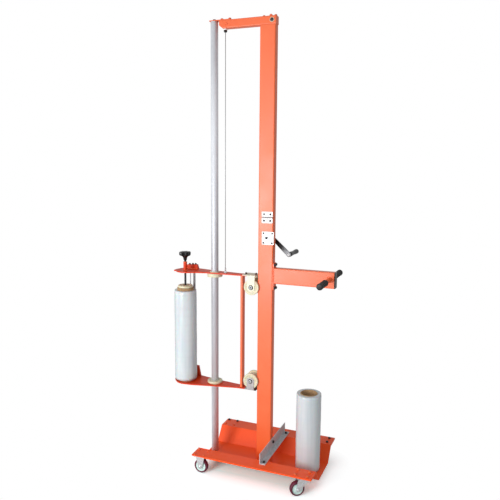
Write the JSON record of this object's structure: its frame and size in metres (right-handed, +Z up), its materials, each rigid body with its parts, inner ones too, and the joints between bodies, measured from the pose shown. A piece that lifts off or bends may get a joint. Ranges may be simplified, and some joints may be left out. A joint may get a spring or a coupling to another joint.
{
  "type": "hand-pushed pallet wrapper",
  "caption": "Castered stretch-film cart with a mast, a crank-hoisted film carriage on a guide tube, a push handle and a trough for a spare roll.",
  "frame": {"origin": "centre of the mast at floor level", "axes": "+Z up the mast, +X from the mast towards the push handle, -Y the side that faces the viewer"},
  "size_m": [0.8798, 0.4787, 2.303],
  "materials": {
    "orange_powder_coat": "satin powder coat",
    "zinc_plate": "zinc plated",
    "bright_steel": "bright drawn steel",
    "galvanised": "hot-dip galvanised",
    "nylon": "turned natural nylon",
    "black_plastic": "matt black plastic",
    "black_rubber": "ribbed rubber",
    "black_steel": "black oxide",
    "stretch_film": "glossy wound film",
    "cardboard": "spiral-wound board",
    "caster_tread": "polyurethane tread"
  },
  "bodies": {
    "frame": {"base_tray": "orange_powder_coat", "front_rail": "orange_powder_coat", "rear_rail": "orange_powder_coat", "angle_brace": "galvanised", "caster_plate_fl": "zinc_plate", "caster_plate_fr": "zinc_plate", "caster_plate_rl": "zinc_plate", "caster_plate_rr": "zinc_plate", "mast_lower": "orange_powder_coat", "mast_upper": "orange_powder_coat", "top_boom": "orange_powder_coat", "hinge_upper_leaf": "bright_steel", "hinge_lower_leaf": "bright_steel", "hinge_pin": "bright_steel", "guide_tube": "bright_steel", "cable_guide": "nylon", "winch_plate": "bright_steel", "cable_run": "bright_steel", "cable_drop": "bright_steel", "handle_arm": "orange_powder_coat", "handle_end_cap": "black_plastic", "handle_bar": "orange_powder_coat", "grip_front": "black_rubber", "grip_rear": "black_rubber", "caster_fork_fl": "zinc_plate", "caster_fork_rl": "zinc_plate"},
    "carriage": {"bottom_arm": "orange_powder_coat", "top_arm": "orange_powder_coat", "carriage_post": "orange_powder_coat", "bottom_bush": "nylon", "top_bush": "nylon", "upper_fork": "bright_steel", "upper_axle": "zinc_plate", "lower_fork": "bright_steel", "lower_axle": "zinc_plate", "top_bracket": "orange_powder_coat", "bottom_bracket": "orange_powder_coat", "guide_rod": "bright_steel"},
    "winch": {"winch_drum": "bright_steel", "crank_arm": "black_steel"},
    "crank_handle": {"crank_grip": "black_plastic"},
    "mast_pulley": {"mast_pulley": "nylon"},
    "boom_pulley": {"boom_pulley": "nylon"},
    "upper_roller": {"upper_roller": "nylon"},
    "lower_roller": {"lower_roller": "nylon"},
    "film": {"film_roll": "stretch_film", "film_core": "cardboard", "bottom_hub": "nylon"},
    "clamp_hub": {"top_hub": "nylon"},
    "clamp_screw": {"tension_screw": "black_steel", "star_knob": "black_plastic"},
    "tension_roller": {"tension_roller": "bright_steel"},
    "spare_roll": {"spare_film": "stretch_film", "spare_core": "cardboard"},
    "wheel_fl": {"caster_wheel_fl": "caster_tread"},
    "caster_fr": {"caster_fork_fr": "zinc_plate"},
    "wheel_fr": {"caster_wheel_fr": "caster_tread"},
    "wheel_rl": {"caster_wheel_rl": "caster_tread"},
    "caster_rr": {"caster_fork_rr": "zinc_plate"},
    "wheel_rr": {"caster_wheel_rr": "caster_tread"}
  },
  "joints": [
    {"name": "carriage_slide", "type": "slide", "parent": "frame", "child": "carriage", "axis": [0, 0, 1], "range_m": [-0.285, 1.17], "deforming": ["cable_drop"]},
    {"name": "winch_spin", "type": "hinge", "parent": "frame", "child": "winch", "pos_m": [0.0066, 0, 1.233], "axis": [0, 1, 0], "range_deg": [-605.3, 2469.6]},
    {"name": "mast_pulley_spin", "type": "hinge", "parent": "frame", "child": "mast_pulley", "pos_m": [0.0213, 0, 2.28], "axis": [0, 1, 0], "range_deg": [-1311.3, 5367.9]},
    {"name": "boom_pulley_spin", "type": "hinge", "parent": "frame", "child": "boom_pulley", "pos_m": [-0.2176, 0, 2.28], "axis": [0, 1, 0], "range_deg": [-1311.3, 5367.9]},
    {"name": "upper_roller_spin", "type": "hinge", "parent": "carriage", "child": "upper_roller", "pos_m": [-0.0715, 0, 0.975], "axis": [0, 1, 0], "range_deg": [-528.4, 2153.6]},
    {"name": "lower_roller_spin", "type": "hinge", "parent": "carriage", "child": "lower_roller", "pos_m": [-0.0715, 0, 0.474], "axis": [0, 1, 0], "range_deg": [-528.4, 2153.6]},
    {"name": "crank_grip_spin", "type": "hinge", "parent": "winch", "child": "crank_handle", "pos_m": [0.1022, 0.06, 1.1445], "axis": [0, 1, 0], "continuous": true},
    {"name": "film_spin", "type": "hinge", "parent": "carriage", "child": "film", "pos_m": [-0.457, -0.02, 0.5], "axis": [0, 0, 1], "continuous": true},
    {"name": "clamp_lift", "type": "slide", "parent": "carriage", "child": "clamp_hub", "axis": [0, 0, 1], "range_m": [0, 0.0312]},
    {"name": "knob_turn", "type": "hinge", "parent": "clamp_hub", "child": "clamp_screw", "pos_m": [-0.457, -0.02, 1], "axis": [0, 0, 1], "range_deg": [0, 3720]},
    {"name": "tension_roller_spin", "type": "hinge", "parent": "carriage", "child": "tension_roller", "pos_m": [-0.4395, 0.05, 0.7], "axis": [0, 0, 1], "continuous": true},
    {"name": "wheel_spin_fl", "type": "hinge", "parent": "frame", "child": "wheel_fl", "pos_m": [-0.282, -0.186, 0.0375], "axis": [0, 1, 0], "continuous": true},
    {"name": "swivel_fr", "type": "hinge", "parent": "frame", "child": "caster_fr", "pos_m": [0.268, -0.186, 0.09], "axis": [0, 0, 1], "continuous": true},
    {"name": "wheel_spin_fr", "type": "hinge", "parent": "caster_fr", "child": "wheel_fr", "pos_m": [0.24564, -0.20285, 0.0375], "axis": [0.6018, -0.7986, 0], "continuous": true},
    {"name": "wheel_spin_rl", "type": "hinge", "parent": "frame", "child": "wheel_rl", "pos_m": [-0.282, 0.2045, 0.0375], "axis": [0, 1, 0], "continuous": true},
    {"name": "swivel_rr", "type": "hinge", "parent": "frame", "child": "caster_rr", "pos_m": [0.265, 0.2045, 0.09], "axis": [0, 0, 1], "continuous": true},
    {"name": "wheel_spin_rr", "type": "hinge", "parent": "caster_rr", "child": "wheel_rr", "pos_m": [0.24264, 0.18765, 0.0375], "axis": [0.6018, -0.7986, 0], "continuous": true},
    {"name": "spare_roll_lift", "type": "slide", "parent": "frame", "child": "spare_roll", "axis": [0, 0, 1], "range_m": [0, 0.45]}
  ],
  "couplings": [
    {"joint": "winch_spin", "follows": "carriage_slide", "rad_per_m": 36.765},
    {"joint": "mast_pulley_spin", "follows": "carriage_slide", "rad_per_m": 80},
    {"joint": "boom_pulley_spin", "follows": "carriage_slide", "rad_per_m": 80},
    {"joint": "upper_roller_spin", "follows": "carriage_slide", "rad_per_m": 32.051},
    {"joint": "lower_roller_spin", "follows": "carriage_slide", "rad_per_m": 32.051},
    {"joint": "clamp_lift", "follows": "knob_turn", "m_per_rad": 0.00047746}
  ]
}
